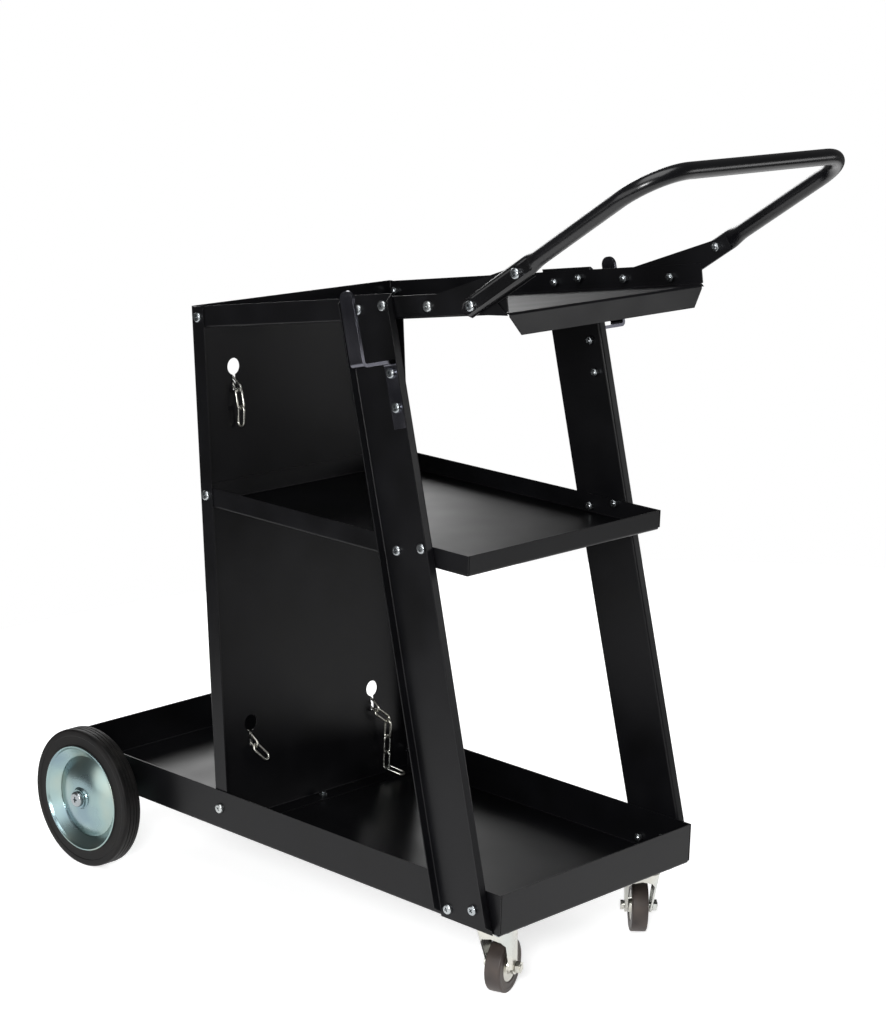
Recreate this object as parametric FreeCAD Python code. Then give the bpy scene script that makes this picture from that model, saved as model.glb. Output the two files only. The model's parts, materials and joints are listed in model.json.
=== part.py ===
"""Three-shelf steel workshop cart with a gas-bottle bay behind its back panel.

The frame has +X to the cart's right, +Y to its rear and +Z up. The origin is on the floor, at the centre of
the cart's bounding box. Shapes are modelled with y = 0 at the lower tray's front wall and moved at the end.
"""
import FreeCAD, Part
import math
import os

V = FreeCAD.Vector
X, Y, Z = V(1, 0, 0), V(0, 1, 0), V(0, 0, 1)

# Folded sheet
sheet = 1.5
bend = 1.5
outer_bend = bend + sheet
slit = 1.0

# Rear wheels and their axle, which runs just under the lower tray
wheel_diameter = 180.0
tyre_width = 25.0
tyre_shoulder = 4.5
rim_lip_radius = 68.0
rim_lip = 1.6
rim_half_sheet = 0.6
dish_radius = 54.0
dish_bend = 3.0
dome_edge = 6.0
dome_rise = 12.5
wheel_from_tray = 33.4
axle_diameter = 12.0
axle_under_tray = 1.0
axle_from_tray_rear = 87.3
hub_length = 30.0
hub_radius = 13.0
running_gap = 0.05

# Lower tray
tray_width = 346.0
tray_length = 770.0
tray_wall = 50.0
tray_bottom = wheel_diameter / 2 + axle_diameter / 2 + axle_under_tray
tray_floor = tray_bottom + sheet
tray_side = tray_width / 2
wheel_track = tray_width + 2 * wheel_from_tray

# Back panel, leaning to the rear
panel_at_floor = 475.0
panel_lean = 0.09
panel_top = 745.0
panel_flange = 22.0
panel_foot = 25.0
keyhole_spread = 108.0
keyhole_diameter = 20.5
keyhole_slot = 5.5
keyhole_slot_depth = 29.0
keyhole_heights = (217.0, 665.0)
keyhole_cut = 20.0

# Shelves, whose walls stand inside the panel's side flanges
shelf_side = tray_side - 2 * sheet
middle_bottom = 503.0
middle_wall = 24.0
middle_front = 70.0
top_front = 24.7
top_front_height = 804.5
top_tilt = 0.1712
top_wall = 26.0
lip_depth = 25.5
lip_taper = 20.0
side_end_gap = 2.0

# Posts: channels with both flanges turned outward
post_width = 80.8
post_flange = 11.5
post_foot_front = 7.7
post_lean = 0.268
post_over_shelf = 3.5
post_chamfer = 12.0
post_foot_step = 5.0
post_trim = 10.0
panel_bolt_levels = ((124.0, 8.0), (517.0, 10.5), (733.0, 11.0))

# Handle: a bent tube with flattened ends on two plates
tube = 18.0
tube_bore = 15.0
tube_reach = 294.0
tube_bend = 56.5
tube_slope = 34.65
flat_thickness = 9.0
flat_groove = 1.5
flat_end = 14.0
flat_past_bolt = 17.0
flat_blend = 22.0
flat_bore = 2.0
flat_overrun = 2.0
round_corner = 0.15
nick_length = 7.0
nick_depth = 8.0
handle_bolt_pitch = 76.8
handle_bolt = (71.3, 808.4)
plate_below_tube = 12.5
plate_tip = 17.0
plate_over_tube = 4.6
plate_notch = 46.6
plate_kink = 130.0
plate_bolt = (141.2, 797.7)
plate_over_floor = 8.0
plate_under_lip = 1.2

# Hooks of flat bar on the posts
hook_width = 20.0
hook_thickness = 4.0
hook_reach = 52.0
hook_shelf = 730.0
hook_tip = 810.0
hook_foot = 655.0
hook_from_root = 17.2
hook_bend = 3.0
hook_bolts = (716.0, 678.2)

# Bolts
bolt_diameter = 6.0
bolt_hole = 6.4
head_diameter = 12.5
head_height = 4.0
nut_across_flats = 10.0
nut_height = 5.0
bolt_tail = 1.5
post_bolt_pitch = 38.0
post_bolt_levels = ((114.0, 6.0), (517.7, -2.5), (784.0, -2.0))

# Swivel casters
caster_from_side = 41.0
caster_spread = tray_side - caster_from_side
caster_from_front = 40.0
caster_wheel = 65.0
caster_tread = 20.0
caster_trail = 22.0
caster_plate = 60.0
caster_plate_thickness = 2.5
caster_bolts = 44.0
caster_turn = {"left": -72.0, "right": -45.0}
race_radius = 21.0
race_height = 7.0
race_upper = 4.2
race_lower_inset = 3.0
race_gap = 0.6
fork_sheet = 2.5
fork_width = 43.0
fork_depth = 44.0
fork_corner = 14.0
fork_foot_width = 33.0
fork_foot_depth = 20.0
fork_foot_corner = 6.0
fork_foot = 9.0
fork_skirt = 3.0
fork_foot_skirt = 1.2
arch_clearance = 12.0
arch_drop = 9.0
arch_shoulder = 4.0
caster_axle = 8.0
caster_hub = 8.5
caster_core = 19.0
caster_core_web = 3.0
caster_shoulder = 2.5
caster_side_gap = 1.4
caster_head = 6.0
caster_head_height = 4.0
caster_nut_height = 5.0
caster_nut_across_flats = 13.0
caster_bolt_gap = 0.1
caster_plate_corner = 6.0
race_round = 2.0
kingpin = 10.0
kingpin_head = 3.0
kingpin_cut = 30.0

# Axle brackets
bracket_width = 30.0
bracket_from_side = 23.0
bracket_spread = tray_side - bracket_from_side
bracket_strap = 3.0
bracket_foot = 24.0
bracket_bolt = 20.0
spacer_radius = 10.0
spacer_gap = 0.3
axle_washer_radius = 12.5
axle_washer = 1.5
axle_cap_radius = 9.5
axle_cap = 5.0
axle_cap_crown = 2.0
axle_cap_bore = 3.75
axle_in_cap = 3.0
washer_gap = 0.2

# Chain
wire = 3.0
link_length = 28.0
link_width = 13.0
wire_sides = 6
link_end_corners = 4
link_slack = 0.3
gate_shift = 1.0
gate_angle = math.radians(30.0)
loop_links = 13
down = (0, 0, -1)
down_forward = (0, -0.25, -1)
down_left = (0.57, -0.40, -0.70)
down_right = (0.70, -0.36, -0.62)
lying_right = (0.45, -0.85, -0.30)
lower_tails = {-1: [down_left], 1: [down_right, down, down, down, lying_right]}
upper_tails = {-1: [down_forward, down], 1: [down_forward, down]}

axle_y = tray_length - axle_from_tray_rear
axle_z = wheel_diameter / 2
handle_way = V(0, -math.cos(math.radians(tube_slope)), math.sin(math.radians(tube_slope)))
handle_rise = V(0, handle_way.z, -handle_way.y)
tilt_angle = math.degrees(math.atan(top_tilt))


def tangent_arc(corner, before, after, radius):
    """Arc that rounds a corner between two directions, with its start and end points."""
    turn = before.getAngle(after)
    reach = radius * math.tan(turn / 2)
    inward = (after - before).normalize()
    centre = corner + inward * (radius / math.cos(turn / 2))
    start = corner - before * reach
    end = corner + after * reach
    return start, Part.Arc(start, centre - inward * radius, end).toShape(), end


def straight(start, end):
    """Line between two points as a list, which is empty where arcs meet with no line between them."""
    return [Part.makeLine(start, end)] if start.distanceToPoint(end) > 0.001 else []


def rounded_path(points, radii):
    """Edges along points, with a tangent arc of the matching radius at each inner point."""
    edges = []
    at = points[0]
    for corner, last, following, radius in zip(points[1:-1], points, points[2:], radii):
        before = (corner - last).normalize()
        after = (following - corner).normalize()
        start, arc, end = tangent_arc(corner, before, after, radius)
        edges += straight(at, start)
        edges.append(arc)
        at = end
    return edges + straight(at, points[-1])


def folded_section(points, normal, thickness=sheet, radius=bend):
    """Face of a strip of sheet that lies to the left of points, seen against the normal."""
    ways = [(b - a).normalize() for a, b in zip(points, points[1:])]
    sides = [normal.cross(way) for way in ways]
    inner = [points[0] + sides[0] * thickness]
    radii = []
    inner_radii = []
    for corner, way, way_on, side, side_on in zip(points[1:-1], ways, ways[1:], sides, sides[1:]):
        inner.append(corner + (side + side_on) * (thickness / (1 + side.dot(side_on))))
        turns_left = way.cross(way_on).dot(normal) > 0
        radii.append(radius + thickness if turns_left else radius)
        inner_radii.append(radius if turns_left else radius + thickness)
    inner.append(points[-1] + sides[-1] * thickness)
    edges = rounded_path(points, radii)
    edges.append(Part.makeLine(points[-1], inner[-1]))
    edges += rounded_path(inner[::-1], inner_radii[::-1])
    edges.append(Part.makeLine(inner[0], points[0]))
    return Part.Face(Part.Wire(edges))


def prism(points, run):
    """Solid of a closed flat outline moved along a vector."""
    return Part.Face(Part.makePolygon(points + points[:1])).extrude(run)


def box(low, high):
    """Block between two corners."""
    size = high - low
    return Part.makeBox(size.x, size.y, size.z, low)


def rod(start, way, length, radius):
    """Cylinder from a point along a direction."""
    return Part.makeCylinder(radius, length, start, way)


def disc(centre, way, radius):
    """Flat round face."""
    return Part.Face(Part.Wire(Part.makeCircle(radius, centre, way)))


def ring(start, way, length, outer, inner):
    """Tube from a point along a direction."""
    return rod(start, way, length, outer).cut(rod(start, way, length, inner))


def joined(shapes):
    """One clean solid from shapes that touch."""
    return shapes[0].multiFuse(shapes[1:]).removeSplitter()


def mirrored(shape):
    """The same shape on the cart's other side."""
    return shape.mirror(V(0, 0, 0), X)


def panel_rear(z):
    """Place of the back panel's rear face at a height."""
    return panel_at_floor + panel_lean * (z - tray_bottom)


def panel_front(z):
    """Place of the back panel's front face at a height."""
    return panel_rear(z) - sheet


def post_root(z):
    """Place of the posts' front edge at a height."""
    return post_foot_front + post_lean * (z - tray_bottom)


def top_underside(y):
    """Height of the tilted shelf's underside."""
    return top_front_height - top_tilt * (y - top_front)


def top_edge(y):
    """Height of the tilted shelf's side walls."""
    return top_underside(y) + top_wall / math.cos(math.radians(tilt_angle))


# Every bolt is a point on the outer face that its head lies on, a direction into the work and a grip
bolts = {}


def add_bolt(group, head, way, grip):
    """Notes a bolt and returns it."""
    bolt = (head, way, grip)
    bolts.setdefault(group, []).append(bolt)
    return bolt


def add_pair(group, x, y, z, grip):
    """Notes a bolt through each side of the cart."""
    return [add_bolt(group, V(side * x, y, z), V(-side, 0, 0), grip) for side in (-1, 1)]


def drilled(shape, holes):
    """A shape with a clearance hole for each bolt."""
    over = sheet * 8
    cutters = [rod(head - way * over, way, grip + 2 * over, bolt_hole / 2) for head, way, grip in holes]
    return shape.cut(Part.makeCompound(cutters))


def bolt_solid(head, way, grip):
    """Pan-headed bolt with its nut run up on the far side of the grip, as one solid."""
    pan = rod(head - way * head_height, way, head_height, head_diameter / 2)
    seat = head + way * grip
    aside = Z if abs(way.z) < 0.5 else X
    corner = nut_across_flats / math.sqrt(3)
    points = [seat + FreeCAD.Rotation(way, 60 * step).multVec(aside) * corner for step in range(6)]
    shank = rod(head, way, grip + nut_height + bolt_tail, bolt_diameter / 2)
    return joined([pan, shank, prism(points, way * nut_height)])


def rims_of(shape, radius, centre=None):
    """Full circles of a radius on a shape, about a point where one is given."""
    circles = [edge for edge in shape.Edges if hasattr(edge.Curve, "Radius") and len(edge.Vertexes) < 2]
    circles = [edge for edge in circles if abs(edge.Curve.Radius - radius) < 0.01]
    return [edge for edge in circles if centre is None or edge.Curve.Center.distanceToPoint(centre) < 0.01]


def fastener_group(group):
    """All bolts of a group, as separate solids."""
    return Part.makeCompound([bolt_solid(head, way, grip) for head, way, grip in bolts[group]])


def note_bolts():
    """Places every bolt by the sheets that it holds."""
    for (level, offset), x in zip(post_bolt_levels, (tray_side, shelf_side, shelf_side)):
        centre = post_root(level) + post_width / 2 + offset
        drop = post_bolt_pitch / 2 * post_lean / math.hypot(1, post_lean)
        for sign in (-1, 1):
            y = centre + sign * post_bolt_pitch / 2
            add_pair("post_bolts", x + sheet, y, level - sign * drop, 2 * sheet)
    for (level, offset), x in zip(panel_bolt_levels, (tray_side, shelf_side + sheet, shelf_side + sheet)):
        add_pair("panel_bolts", x, panel_front(level) - offset, level, 2 * sheet)
    foot = V(0, panel_front(tray_floor) - panel_foot / 2, tray_bottom)
    add_bolt("panel_bolts", foot, Z, 2 * sheet)
    low = V(0, *handle_bolt)
    high = low + handle_way * handle_bolt_pitch
    outer = shelf_side + sheet + flat_thickness - flat_groove
    add_pair("handle_bolts", outer, low.y, low.z, flat_thickness - flat_groove + 2 * sheet)
    add_pair("handle_bolts", outer, high.y, high.z, flat_thickness - flat_groove + sheet)
    add_pair("handle_bolts", shelf_side + sheet, *plate_bolt, 2 * sheet)
    for z in hook_bolts:
        y = post_root(z) + hook_from_root
        add_pair("hook_bolts", shelf_side + sheet + hook_thickness, y, z, sheet + hook_thickness)
    for side in (-1, 1):
        for dx in (-1, 1):
            for dy in (-1, 1):
                x = side * caster_spread + dx * caster_bolts / 2
                y = caster_from_front + dy * caster_bolts / 2
                add_bolt("caster_bolts", V(x, y, tray_floor), -Z, sheet + caster_plate_thickness)
        for dy in (-1, 1):
            y = axle_y + dy * bracket_bolt
            add_bolt("axle_bolts", V(side * bracket_spread, y, tray_floor), -Z, sheet + bracket_strap)


def tray_body(half_width, length, wall, side_start, side_end):
    """Floor and side walls of a tray that stands at y = 0 and z = 0, with relief at its corners."""
    section = [V(-half_width, 0, wall), V(-half_width, 0, 0), V(half_width, 0, 0), V(half_width, 0, wall)]
    body = folded_section(section, -Y).extrude(Y * length)
    wide = half_width + 1
    low = V(-wide, -1, -1)
    body = body.cut(box(low, V(wide, outer_bend, outer_bend)))
    body = body.cut(box(V(-wide, length - outer_bend, -1), V(wide, length + 1, outer_bend)))
    body = body.cut(box(low, V(wide, side_start, wall + 1)))
    return body.cut(box(V(-wide, side_end, -1), V(wide, length + 1, wall + 1)))


def flap(points, normal, half_width, bend_half_width, bend_box):
    """End wall of a tray, folded along X, narrower at its fold to leave the corner relief."""
    strip = folded_section(points, normal).extrude(X * 2 * half_width)
    strip.translate(X * -half_width)
    low, high = bend_box
    for side in (-1, 1):
        near, far = sorted((side * bend_half_width, side * (half_width + 1)))
        strip = strip.cut(box(V(near, low.y, low.z), V(far, high.y, high.z)))
    return strip


def lower_tray():
    """Long tray that carries everything, with upturned walls on all four sides."""
    inside = tray_side - sheet - slit
    fold = tray_side - outer_bend
    body = tray_body(tray_side, tray_length, tray_wall, 0, tray_length)
    front = [V(0, 0, tray_wall), V(0, 0, 0), V(0, outer_bend, 0)]
    rear = [V(0, tray_length - outer_bend, 0), V(0, tray_length, 0), V(0, tray_length, tray_wall)]
    corner = (V(0, -1, -1), V(0, outer_bend, outer_bend))
    far_corner = (V(0, tray_length - outer_bend, -1), V(0, tray_length + 1, outer_bend))
    shape = joined([body, flap(front, X, inside, fold, corner), flap(rear, X, inside, fold, far_corner)])
    shape.translate(Z * tray_bottom)
    return drilled(shape, bolts["post_bolts"][:4] + bolts["panel_bolts"][:2] + bolts["panel_bolts"][-1:]
                   + bolts["caster_bolts"] + bolts["axle_bolts"])


def middle_shelf():
    """Level shelf between the posts and the back panel, with upturned walls."""
    length = panel_front(middle_bottom) - middle_front
    inside = shelf_side - sheet - slit
    fold = shelf_side - outer_bend
    body = tray_body(shelf_side, length, middle_wall, 0, length - side_end_gap)
    front = [V(0, 0, middle_wall), V(0, 0, 0), V(0, outer_bend, 0)]
    rear_edge = V(0, length + panel_lean * middle_wall, middle_wall)
    rear = [V(0, length - outer_bend, 0), V(0, length, 0), rear_edge]
    corner = (V(0, -1, -1), V(0, outer_bend, outer_bend))
    far_corner = (V(0, length - outer_bend, -1), V(0, length + outer_bend, outer_bend))
    shape = joined([body, flap(front, X, inside, fold, corner), flap(rear, X, inside, fold, far_corner)])
    shape.translate(V(0, middle_front, middle_bottom))
    return drilled(shape, bolts["post_bolts"][4:8] + bolts["panel_bolts"][2:4])


def top_length():
    """Length of the tilted shelf's floor along its slope, up to the back panel."""
    cos = math.cos(math.radians(tilt_angle))
    level = (panel_front(top_front_height) - top_front) / (1 + panel_lean * top_tilt)
    return level / cos


def top_shelf():
    """Tilted shelf with upturned sides and rear and a tapered lip bent down at its front."""
    length = top_length()
    inside = shelf_side - sheet - slit
    fold = shelf_side - outer_bend
    body = tray_body(shelf_side, length, top_wall, 0, length - side_end_gap - top_tilt * top_wall)
    lip = [V(0, outer_bend, sheet), V(0, 0, sheet), V(0, 0, sheet - lip_depth)]
    lean = math.tan(math.atan(panel_lean) - math.radians(tilt_angle))
    rear = [V(0, length - outer_bend, 0), V(0, length, 0), V(0, length + lean * top_wall, top_wall)]
    lip_solid = folded_section(lip, X).extrude(X * 2 * fold)
    lip_solid.translate(X * -fold)
    taper = lip_taper * (1 - outer_bend / lip_depth)
    for side in (-1, 1):
        edge = [V(side * fold, -1, -outer_bend), V(side * (fold - taper), -1, sheet - lip_depth - 1),
                V(side * fold, -1, sheet - lip_depth - 1)]
        lip_solid = lip_solid.cut(prism(edge, Y * (outer_bend + 2)))
    far_corner = (V(0, length - outer_bend, -1), V(0, length + outer_bend, outer_bend))
    shape = joined([body, lip_solid, flap(rear, X, inside, fold, far_corner)])
    shape.rotate(V(0, 0, 0), X, -tilt_angle)
    shape.translate(V(0, top_front, top_front_height))
    return drilled(shape, bolts["post_bolts"][8:] + bolts["panel_bolts"][4:6] + bolts["handle_bolts"])


def keyhole(x, z):
    """Cutter of a round hole with a slot below it, which a chain link drops into."""
    start = V(x, panel_front(z) - keyhole_cut, z)
    half = keyhole_slot / 2
    slot = box(start + V(-half, 0, -keyhole_slot_depth), start + V(half, 2 * keyhole_cut, 0))
    return rod(start, Y, 2 * keyhole_cut, keyhole_diameter / 2).fuse(slot)


def back_panel():
    """Leaning panel with forward flanges at its sides and a foot on the tray's floor."""
    side = tray_side - sheet
    height = panel_top - tray_floor
    base = panel_rear(tray_floor)
    section = [V(-side, base - panel_flange, tray_floor), V(-side, base, tray_floor),
               V(side, base, tray_floor), V(side, base - panel_flange, tray_floor)]
    body = folded_section(section, -Z).extrude(V(0, panel_lean * height, height))
    foot_half = side - outer_bend
    fold_top = 4 * outer_bend
    body = body.cut(box(V(-side - 1, base - panel_flange - 1, tray_floor - 1),
                        V(side + 1, base + outer_bend, tray_floor + outer_bend)))
    opening = box(V(-foot_half, base - panel_flange - 1, tray_floor),
                  V(foot_half, base + 10, tray_floor + fold_top))
    body = body.cut(opening)
    lean_sheet = sheet * math.cos(math.atan(panel_lean))
    rise = fold_top * 2
    foot = [V(0, base - panel_foot, tray_floor), V(0, base, tray_floor),
            V(0, base + panel_lean * rise, tray_floor + rise)]
    strip = folded_section(foot, X, lean_sheet).extrude(X * 2 * foot_half)
    strip.translate(X * -foot_half)
    strip = strip.common(opening)
    shape = joined([body, strip])
    holes = [keyhole(sign * keyhole_spread, z) for sign in (-1, 1) for z in keyhole_heights]
    return drilled(shape.cut(Part.makeCompound(holes)), bolts["panel_bolts"])


def post():
    """Right post: a leaning channel whose web lies on the tray's and the shelves' walls."""
    levels = [(tray_bottom, tray_side), (tray_bottom + tray_wall, tray_side), (middle_bottom, shelf_side),
              (panel_top + tray_wall * 2, shelf_side)]
    runs = []
    for (low, x), (high, x_on) in zip(levels, levels[1:]):
        y = post_root(low)
        section = [V(x + post_flange, y, low), V(x, y, low), V(x, y + post_width, low),
                   V(x + post_flange, y + post_width, low)]
        run = V(x_on - x, post_lean * (high - low), high - low)
        runs.append(folded_section(section, -Z).extrude(run))
    shape = joined(runs)
    tip = tray_side + post_flange + 1
    crest = [V(shelf_side - post_trim, y, top_edge(y) + post_over_shelf) for y in (0, tray_length)]
    above = [V(shelf_side - post_trim, y, panel_top * 2) for y in (tray_length, 0)]
    shape = shape.cut(prism(crest + above, X * (tip + 2 * post_trim - shelf_side)))
    foot = [V(tray_side + sheet, 0, tray_bottom - 1), V(tip, 0, tray_bottom - 1),
            V(tip, 0, tray_bottom + post_chamfer), V(tray_side + sheet, 0, tray_bottom + post_foot_step)]
    shape = shape.cut(prism(foot, Y * tray_length))
    web_face = shelf_side + sheet
    crown = top_edge(0) + post_over_shelf
    shoulder = [V(web_face, 0, crown), V(tip, 0, crown - post_chamfer), V(tip, 0, crown + tray_wall),
                V(web_face, 0, crown + tray_wall)]
    shape = shape.cut(prism(shoulder, V(0, 1, -top_tilt) * tray_length))
    return drilled(shape, bolts["post_bolts"] + bolts["hook_bolts"])


def handle_plate():
    """Right plate that carries the handle's end outside the tilted shelf's wall."""
    low = V(shelf_side, *handle_bolt)
    high = low + handle_way * handle_bolt_pitch
    rear = post_root(top_underside(post_root(top_front_height))) - slit
    outline = [
        V(shelf_side, rear, top_underside(rear) + plate_over_floor),
        V(shelf_side, top_front, top_front_height - plate_under_lip),
        high - handle_way * plate_notch - handle_rise * plate_below_tube,
        high + handle_way * plate_tip - handle_rise * plate_below_tube,
        high + handle_way * plate_tip + handle_rise * plate_over_tube,
        V(shelf_side, plate_kink, top_edge(plate_kink)),
        V(shelf_side, rear + post_lean * top_wall, top_edge(rear + post_lean * top_wall)),
    ]
    shape = prism(outline, X * sheet)
    return drilled(shape, bolts["handle_bolts"])


def oval_wire(centre, along, thick, wide):
    """Closed wire of a tube's section, round or pressed flat, always of four edges."""
    across = along.cross(X).normalize()
    is_round = wide - thick < 0.01
    half = round_corner * thick if is_round else (wide - thick) / 2
    side = math.sqrt((thick / 2) ** 2 - half ** 2) if is_round else thick / 2
    signs = ((1, -1), (1, 1), (-1, 1), (-1, -1))
    corners = [centre + X * sx * side + across * sy * half for sx, sy in signs]
    ends = [X * thick / 2, across * wide / 2, X * -thick / 2, across * -wide / 2]
    edges = []
    for index, (start, offset, end) in enumerate(zip(corners, ends, corners[1:] + corners[:1])):
        if index % 2 or is_round:
            edges.append(Part.Arc(start, centre + offset, end).toShape())
        else:
            edges.append(Part.makeLine(start, end))
    return Part.Wire(edges)


def handle_form(diameter, thickness, width, end):
    """Bent tube of one diameter whose ends are pressed flat, as one solid."""
    x = shelf_side + sheet + flat_thickness / 2
    foot = V(x, *handle_bolt)
    left_foot = V(-x, *handle_bolt)
    flat_to = handle_bolt_pitch + flat_past_bolt
    round_from = flat_to + flat_blend
    pieces = []
    for base in (foot, left_foot):
        flat_start = oval_wire(base - handle_way * end, handle_way, thickness, width)
        flat_stop = oval_wire(base + handle_way * flat_to, handle_way, thickness, width)
        round_start = oval_wire(base + handle_way * round_from, handle_way, diameter, diameter)
        pieces.append(Part.Face(flat_start).extrude(handle_way * (flat_to + end)))
        pieces.append(Part.makeLoft([flat_stop, round_start], True, True))
    top = handle_way * (tube_reach - tube_bend)
    leg = handle_way * (tube_reach - tube_bend - round_from)
    for side, base in ((1, foot), (-1, left_foot)):
        start = disc(base + handle_way * round_from, handle_way, diameter / 2)
        pieces.append(start.extrude(leg))
        start.translate(leg)
        pieces.append(start.revolve(base + top - X * side * tube_bend, handle_rise, -90 * side))
    rail = V(-x + tube_bend, *handle_bolt) + handle_way * tube_reach
    pieces.append(rod(rail, X, 2 * (x - tube_bend), diameter / 2))
    return joined(pieces)


def handle_tube():
    """Handle with a rounded bend at each corner and grooved flat ends."""
    width = flat_thickness + (tube - flat_thickness) * math.pi / 2
    wall = (tube - tube_bore) / 2
    outer = handle_form(tube, flat_thickness, width, flat_end)
    shape = outer.cut(handle_form(tube_bore, flat_bore, width - 2 * wall, flat_end + 1))
    x = shelf_side + sheet + flat_thickness
    groove_run = handle_way * (flat_end + handle_bolt_pitch + flat_past_bolt + flat_overrun)
    floor_half = (head_diameter + 0.5) / 2
    for side in (-1, 1):
        start = V(side * x, *handle_bolt) - handle_way * (flat_end + 1)
        deep = start - X * side * flat_groove
        high = start + X * side * flat_groove
        mouth = handle_rise * (floor_half + 2 * flat_groove)
        floor = handle_rise * floor_half
        groove = [deep + floor, deep - floor, high - mouth, high + mouth]
        shape = shape.cut(prism(groove, groove_run))
        base = V(side * (x - flat_thickness / 2), *handle_bolt) - handle_way * flat_end
        for sign in (-1, 1):
            rim = base + handle_rise * sign * width / 2
            nick = [rim - handle_way, rim + handle_way * nick_length,
                    rim - handle_rise * sign * nick_depth - handle_way]
            shape = shape.cut(prism([point - X * flat_thickness for point in nick], X * flat_thickness * 2))
    return drilled(shape, bolts["handle_bolts"])


def hook():
    """Right hook: a flat bar down the post's web, out, and up to a rounded tip."""
    length = math.hypot(1, post_lean)
    face = shelf_side + sheet
    leg = (hook_shelf - hook_foot) * length
    arm = (hook_tip - hook_shelf) * length
    path = [V(face, 0, -leg), V(face, 0, 0), V(face + hook_reach, 0, 0), V(face + hook_reach, 0, arm)]
    bar = folded_section(path, Y, hook_thickness, hook_bend).extrude(Y * hook_width)
    bar.translate(Y * (-hook_width / 2))
    tip = V(face, 0, arm - hook_width / 2)
    outer = box(V(0, -hook_width, arm - hook_width / 2), V(face * 2, hook_width, arm + 1))
    dome = rod(tip - X * 5, X, hook_reach + 20, hook_width / 2)
    bar = bar.cut(outer.cut(dome))
    bar.rotate(V(0, 0, 0), X, -math.degrees(math.atan(post_lean)))
    bar.translate(V(0, post_root(hook_shelf) + hook_from_root, hook_shelf))
    return drilled(bar, bolts["hook_bolts"])


def revolved(points, centre, way):
    """Ring turned about an axis from (along the axis, radius) points."""
    profile = [centre + way * a + Z * r for a, r in points]
    return Part.Face(Part.makePolygon(profile + profile[:1])).revolve(centre, way, 360)


def wheel_centre(side):
    """Centre of a rear wheel; side is -1 on the left and 1 on the right."""
    return V(side * wheel_track / 2, axle_y, axle_z)


def rear_tyre(side):
    """Solid rubber tyre with rounded shoulders, seated in the groove between the two pressed discs."""
    centre = wheel_centre(side)
    half = tyre_width / 2
    radius = wheel_diameter / 2
    edge, deep = rim_seat()
    outline = [(-half, edge), (-half, radius), (half, radius), (half, edge), (0, deep)]
    shape = revolved(outline, centre, X)
    return shape.makeFillet(tyre_shoulder, rims_of(shape, radius))


def rim_seat():
    """Radii of the channel that the tyre sits in, at its edge and at the wheel's middle plane."""
    return rim_lip_radius - rim_half_sheet, dish_radius + sheet


def wheel_disc(side, face):
    """Pressed half of a rear wheel: hub collar, domed disc, step, channel wall and rolled lip."""
    centre = wheel_centre(side)
    half = tyre_width / 2
    edge, deep = rim_seat()
    lip = half + rim_lip
    foot = dish_radius - dish_bend
    lip_top = edge + 2 * rim_half_sheet
    dome = hub_radius + dome_edge
    outline = [(dome_rise, hub_radius), (dome_rise, dome), (sheet, foot), (sheet, dish_radius),
               (half, edge - 2 * sheet + rim_half_sheet), (lip, edge - rim_half_sheet), (lip, lip_top),
               (half, lip_top), (half, edge), (0, deep), (0, foot),
               (dome_rise - sheet, dome), (dome_rise - sheet, hub_radius)]
    return revolved([(face * a, r) for a, r in outline], centre, X)


def wheel_hub(side):
    """Hub tube with a small flange each side of the discs, and a running bore for the axle."""
    start = wheel_centre(side) - X * hub_length / 2
    return ring(start, X, hub_length, hub_radius, axle_diameter / 2 + running_gap)


def rear_axle():
    """Straight axle through both wheels, under the tray."""
    reach = wheel_track / 2 + hub_length / 2 + axle_washer + axle_in_cap
    return rod(V(-reach, axle_y, axle_z), X, 2 * reach, axle_diameter / 2)


def axle_bracket(side):
    """Strap folded round the axle and bolted under the tray."""
    inner = axle_diameter / 2 + running_gap
    outer = inner + bracket_strap
    left = side * bracket_spread - bracket_width / 2
    right = left + bracket_width
    saddle = []
    for radius in (outer, inner):
        block = box(V(left, axle_y - radius, axle_z), V(right, axle_y + radius, tray_bottom))
        lower = rod(V(left, axle_y, axle_z), X, bracket_width, radius)
        above = box(V(left, axle_y - radius, axle_z), V(right, axle_y + radius, 2 * axle_z))
        saddle.append(block.fuse(lower.cut(above)))
    foot = outer + bracket_foot
    plate = box(V(left, axle_y - foot, tray_bottom - bracket_strap), V(right, axle_y + foot, tray_bottom))
    return drilled(joined([plate, saddle[0]]).cut(saddle[1]), bolts["axle_bolts"])


def axle_trim():
    """Spacers inside the wheels, and a washer and a cap outside each."""
    bore = axle_diameter / 2 + running_gap
    inner = tray_side + spacer_gap
    hub_in = wheel_track / 2 - hub_length / 2
    hub_out = wheel_track / 2 + hub_length / 2
    spacers, washers, caps = [], [], []
    for side in (-1, 1):
        way = X * side
        spacer_start = V(side * inner, axle_y, axle_z)
        spacers.append(ring(spacer_start, way, hub_in - inner - washer_gap, spacer_radius, bore))
        washer_start = V(side * (hub_out + washer_gap), axle_y, axle_z)
        washers.append(ring(washer_start, way, axle_washer, axle_washer_radius, bore))
        start = washer_start + way * (axle_washer + washer_gap)
        brim = rod(start, way, axle_cap - axle_cap_crown, axle_cap_radius)
        crown_foot = start + way * (axle_cap - axle_cap_crown)
        top = axle_cap_radius - axle_cap_crown
        crown = Part.makeCone(axle_cap_radius, top, axle_cap_crown, crown_foot, way)
        cap = joined([brim, crown])
        caps.append(cap.cut(rod(start, way, axle_cap_bore, bore)))
    return spacers, washers, caps


def caster_centre(side):
    """Point on a caster's swivel axis, at the tray's underside."""
    return V(side * caster_spread, caster_from_front, tray_bottom)


def turned(shape, side, name):
    """Turns a caster part, modelled with its wheel trailing to the rear, to its rest position."""
    shape = shape.copy()
    shape.rotate(caster_centre(side), Z, caster_turn[name])
    return shape


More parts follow.
